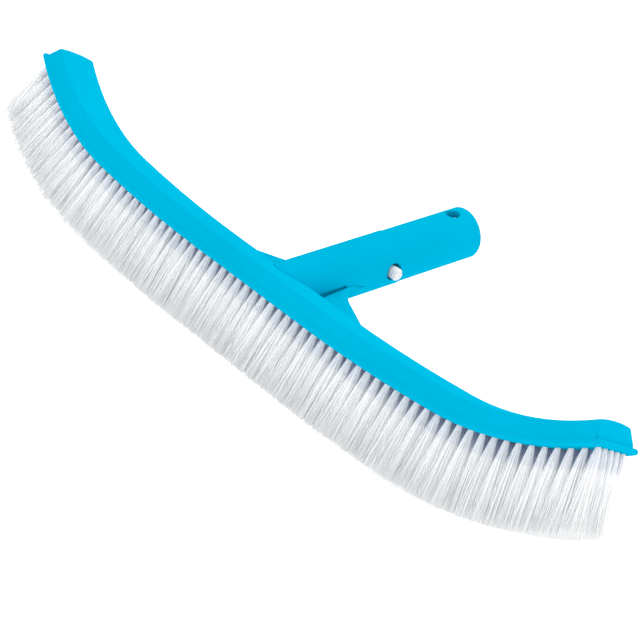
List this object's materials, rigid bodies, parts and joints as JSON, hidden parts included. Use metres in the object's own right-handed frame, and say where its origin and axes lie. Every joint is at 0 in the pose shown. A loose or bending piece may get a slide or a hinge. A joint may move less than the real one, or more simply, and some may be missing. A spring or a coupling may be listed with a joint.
{
  "type": "pool wall brush",
  "caption": "Curved wall brush for pools: even bristles under an upswept back, and a leaning hollow handle whose two spring buttons lock it into a pole.",
  "frame": {"origin": "on the surface that the bristles stand on, under the middle of the bounding box", "axes": "+X along the brush, +Y the way the handle leans, +Z from the bristle tips up through the back"},
  "size_m": [0.454, 0.141, 0.1131],
  "materials": {
    "back_blue": "satin moulded polypropylene, sky blue",
    "clip_white": "smooth moulded nylon, white",
    "bristle_nylon": "straight nylon filament, white and slightly clear",
    "anchor_brass": "plain flat wire"
  },
  "bodies": {
    "brush": {"brush_back": "back_blue", "handle": "back_blue", "web_left": "back_blue", "web_right": "back_blue", "clip_bow": "clip_white", "tufts_row1_left": "bristle_nylon", "tufts_row1_middle": "bristle_nylon", "tufts_row1_right": "bristle_nylon", "tufts_row2_left": "bristle_nylon", "tufts_row2_middle": "bristle_nylon", "tufts_row2_right": "bristle_nylon", "tufts_row3_left": "bristle_nylon", "tufts_row3_middle": "bristle_nylon", "tufts_row3_right": "bristle_nylon", "tufts_row4_left": "bristle_nylon", "tufts_row4_middle": "bristle_nylon", "tufts_row4_right": "bristle_nylon", "tufts_row5_left": "bristle_nylon", "tufts_row5_middle": "bristle_nylon", "tufts_row5_right": "bristle_nylon", "anchors_row1": "anchor_brass", "anchors_row2": "anchor_brass", "anchors_row3": "anchor_brass", "anchors_row4": "anchor_brass", "anchors_row5": "anchor_brass"},
    "clip_arm_left": {"clip_arm_left": "clip_white"},
    "clip_arm_right": {"clip_arm_right": "clip_white"}
  },
  "joints": [
    {"name": "button_left_press", "type": "hinge", "parent": "brush", "child": "clip_arm_left", "pos_m": [-0.0044, -0.01505, 0.056], "axis": [0, 0.5, -0.866], "range_deg": [0, 8.2], "stiffness_Nm_per_rad": 0.5},
    {"name": "button_right_press", "type": "hinge", "parent": "brush", "child": "clip_arm_right", "pos_m": [0.0044, -0.01505, 0.056], "axis": [0, -0.5, 0.866], "range_deg": [0, 8.2], "stiffness_Nm_per_rad": 0.5}
  ]
}
